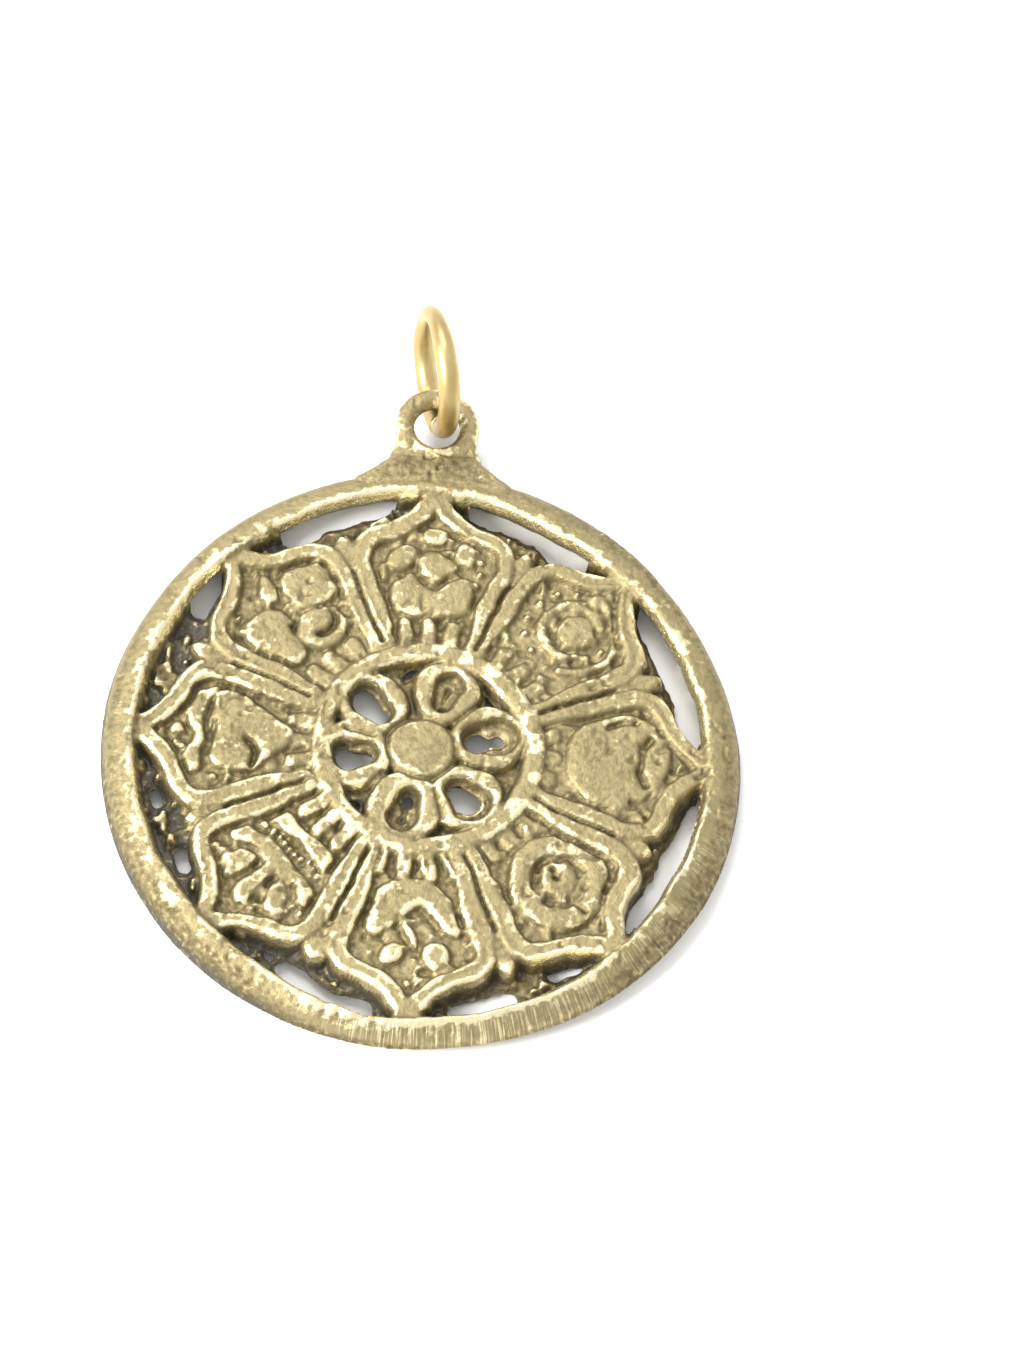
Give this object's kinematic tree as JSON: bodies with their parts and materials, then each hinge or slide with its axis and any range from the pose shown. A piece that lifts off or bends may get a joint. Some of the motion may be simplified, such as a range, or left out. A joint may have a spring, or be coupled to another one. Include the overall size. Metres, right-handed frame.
{
  "type": "openwork pendant",
  "caption": "Round cast brass openwork pendant: a rim, petals in relief round a pierced centre, a pierced lug and a wire jump ring that swings in it.",
  "frame": {"origin": "centre of the disc on its flat back", "axes": "+Z out of the decorated face, +Y from the disc's centre towards the hanging lug, +X to the right seen from the front"},
  "size_m": [0.046, 0.0576, 0.01],
  "materials": {
    "cast_brass": "worn cast brass with dark recesses",
    "ring_brass": "smooth drawn wire, pale gold tone"
  },
  "bodies": {
    "pendant": {"rim": "cast_brass", "hanging_lug": "cast_brass", "hub_ring": "cast_brass", "centre_rosette": "cast_brass", "petal_top": "cast_brass", "petal_upper_right": "cast_brass", "petal_right": "cast_brass", "petal_lower_right": "cast_brass", "petal_bottom": "cast_brass", "petal_lower_left": "cast_brass", "petal_left": "cast_brass", "petal_upper_left": "cast_brass", "basket_relief": "cast_brass", "coil_relief": "cast_brass", "dome_relief": "cast_brass", "wheel_relief": "cast_brass", "vase_relief": "cast_brass", "fan_relief": "cast_brass", "shell_relief": "cast_brass", "trefoil_relief": "cast_brass", "leaf_tips": "cast_brass"},
    "ring": {"jump_ring": "ring_brass"}
  },
  "joints": [
    {"name": "ring_swing", "type": "hinge", "parent": "pendant", "child": "ring", "pos_m": [-0.0003, 0.0263, 0.00265], "axis": [0, 0, 1], "range_deg": [-95, 85]}
  ]
}
